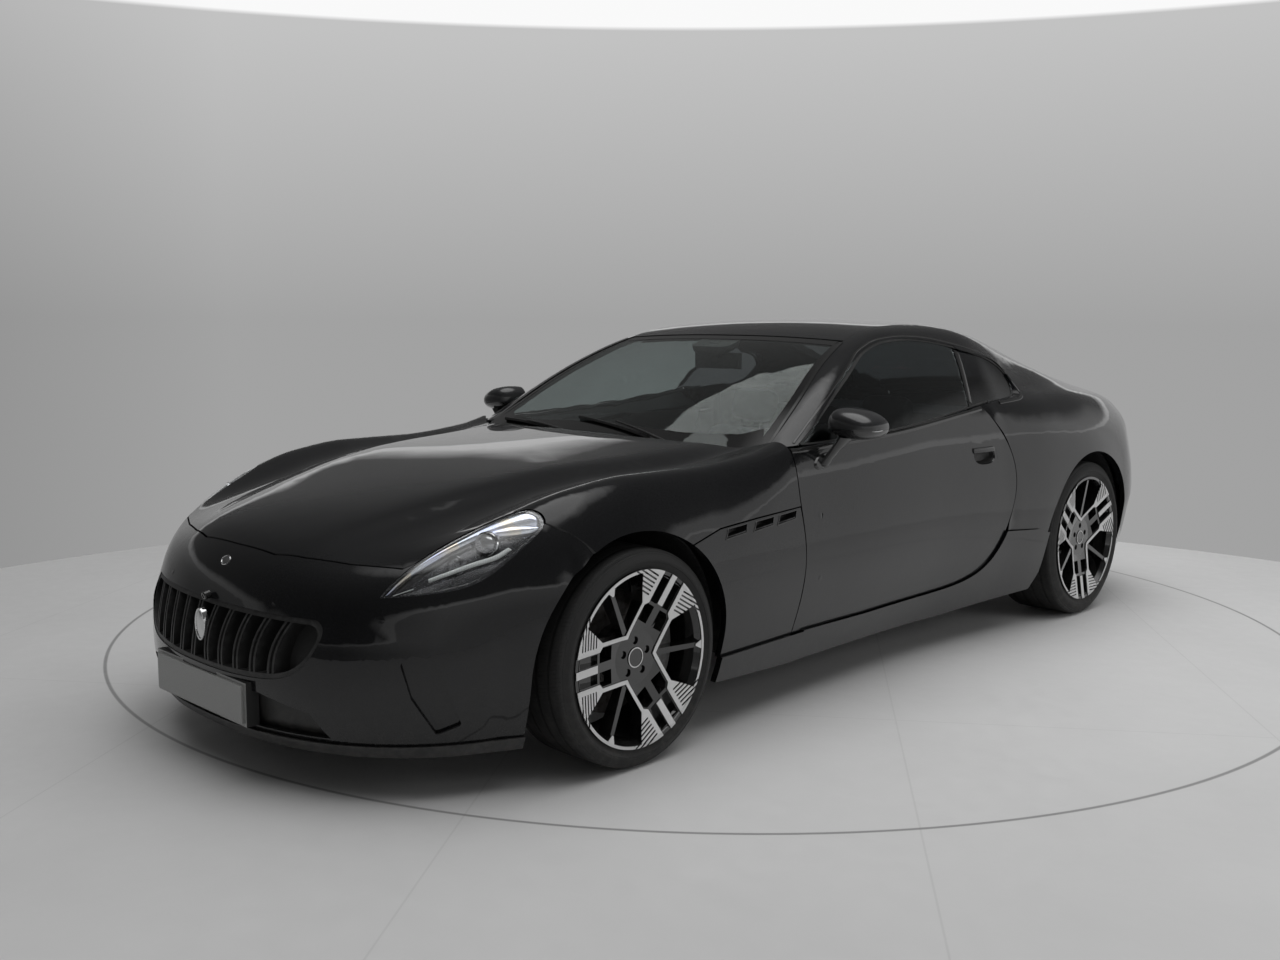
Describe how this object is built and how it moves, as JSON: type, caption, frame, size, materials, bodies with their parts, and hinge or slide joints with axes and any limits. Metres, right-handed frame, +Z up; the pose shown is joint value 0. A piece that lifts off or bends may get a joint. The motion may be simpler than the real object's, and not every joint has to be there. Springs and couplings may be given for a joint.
{
  "type": "grand tourer",
  "caption": "Low two-door coupe with a long clamshell hood, oval slatted grille, slanted headlamps, side vents and opening doors, hood and boot.",
  "frame": {"origin": "on the ground under the middle of the car's length and width", "axes": "+Z up, nose towards -Y, +X the car's left side; rest pose has everything closed and the wheels straight"},
  "size_m": [2.12, 4.9667, 1.353],
  "materials": {
    "body_paint": "gloss metallic",
    "window_glass": "tinted",
    "lamp_glass": "clear",
    "tail_lamp_red": "gloss",
    "lamp_inner": "gloss",
    "tyre": "matte",
    "wheel_metal": "gloss black with cut faces",
    "running_gear": "satin",
    "black_trim": "satin",
    "plate": "satin",
    "structure": "satin",
    "drive_case": "satin",
    "cabin_trim": "satin",
    "seat_leather": "satin"
  },
  "bodies": {
    "body_shell": {"battery_pack": "drive_case", "cowl": "black_trim", "dashboard": "cabin_trim", "floor_pan": "structure", "front_bumper": "body_paint", "front_drive_unit": "drive_case", "front_number_plate": "plate", "front_splitter": "black_trim", "front_wishbones": "running_gear", "grille": "black_trim", "inner_mirror": "black_trim", "left_body_side": "body_paint", "left_front_seat": "seat_leather", "left_headlamp": "lamp_inner", "left_headlamp_cover": "lamp_glass", "left_quarter_glass": "window_glass", "left_sill": "body_paint", "left_tail_lamp": "tail_lamp_red", "left_wing": "body_paint", "lower_grille": "black_trim", "parcel_shelf": "cabin_trim", "rear_bumper": "body_paint", "rear_diffuser": "black_trim", "rear_drive_unit": "drive_case", "rear_left_knuckle": "running_gear", "rear_number_plate": "plate", "rear_right_knuckle": "running_gear", "rear_seat": "seat_leather", "rear_window": "window_glass", "rear_wishbones": "running_gear", "right_body_side": "body_paint", "right_front_seat": "seat_leather", "right_headlamp": "lamp_inner", "right_headlamp_cover": "lamp_glass", "right_quarter_glass": "window_glass", "right_sill": "body_paint", "right_tail_lamp": "tail_lamp_red", "right_wing": "body_paint", "roof": "body_paint", "windscreen": "window_glass"},
    "left_door": {"left_door": "body_paint", "left_door_glass": "window_glass", "left_mirror": "body_paint"},
    "right_door": {"right_door": "body_paint", "right_door_glass": "window_glass", "right_mirror": "body_paint"},
    "hood": {"hood": "body_paint"},
    "boot_lid": {"boot_lid": "body_paint"},
    "steering_wheel": {"steering_wheel": "cabin_trim"},
    "front_left_upright": {"front_left_knuckle": "running_gear"},
    "front_right_upright": {"front_right_knuckle": "running_gear"},
    "front_left_wheel": {"front_left_wheel": "wheel_metal", "front_left_tyre": "tyre"},
    "front_right_wheel": {"front_right_wheel": "wheel_metal", "front_right_tyre": "tyre"},
    "rear_left_wheel": {"rear_left_wheel": "wheel_metal", "rear_left_tyre": "tyre"},
    "rear_right_wheel": {"rear_right_wheel": "wheel_metal", "rear_right_tyre": "tyre"}
  },
  "joints": [
    {"name": "left_door_swing", "type": "hinge", "parent": "body_shell", "child": "left_door", "pos_m": [0.911, -0.652, 0.56], "axis": [0, 0, -1], "range_deg": [0, 65]},
    {"name": "right_door_swing", "type": "hinge", "parent": "body_shell", "child": "right_door", "pos_m": [-0.911, -0.652, 0.56], "axis": [0, 0, 1], "range_deg": [0, 65]},
    {"name": "hood_lift", "type": "hinge", "parent": "body_shell", "child": "hood", "pos_m": [0, -0.738, 0.938], "axis": [-1, 0, 0], "range_deg": [0, 45]},
    {"name": "boot_lift", "type": "hinge", "parent": "body_shell", "child": "boot_lid", "pos_m": [0, 1.93, 1.056], "axis": [1, 0, 0], "range_deg": [0, 70]},
    {"name": "front_left_steer", "type": "hinge", "parent": "body_shell", "child": "front_left_upright", "pos_m": [0.742, -1.55, 0.334], "axis": [0, 0, 1], "range_deg": [-32, 32]},
    {"name": "front_right_steer", "type": "hinge", "parent": "body_shell", "child": "front_right_upright", "pos_m": [-0.742, -1.55, 0.334], "axis": [0, 0, 1], "range_deg": [-32, 32]},
    {"name": "steering_wheel_turn", "type": "hinge", "parent": "body_shell", "child": "steering_wheel", "pos_m": [0.37, -0.33, 0.745], "axis": [0, 0.9207, 0.3903], "range_deg": [-450, 450]},
    {"name": "front_left_spin", "type": "hinge", "parent": "front_left_upright", "child": "front_left_wheel", "pos_m": [0.812, -1.55, 0.334], "axis": [1, 0, 0], "continuous": true},
    {"name": "front_right_spin", "type": "hinge", "parent": "front_right_upright", "child": "front_right_wheel", "pos_m": [-0.812, -1.55, 0.334], "axis": [1, 0, 0], "continuous": true},
    {"name": "rear_left_spin", "type": "hinge", "parent": "body_shell", "child": "rear_left_wheel", "pos_m": [0.806, 1.379, 0.355], "axis": [1, 0, 0], "continuous": true},
    {"name": "rear_right_spin", "type": "hinge", "parent": "body_shell", "child": "rear_right_wheel", "pos_m": [-0.806, 1.379, 0.355], "axis": [1, 0, 0], "continuous": true}
  ],
  "couplings": [
    {"joint": "front_right_steer", "follows": "front_left_steer", "ratio": 1},
    {"joint": "steering_wheel_turn", "follows": "front_left_steer", "ratio": 14}
  ]
}
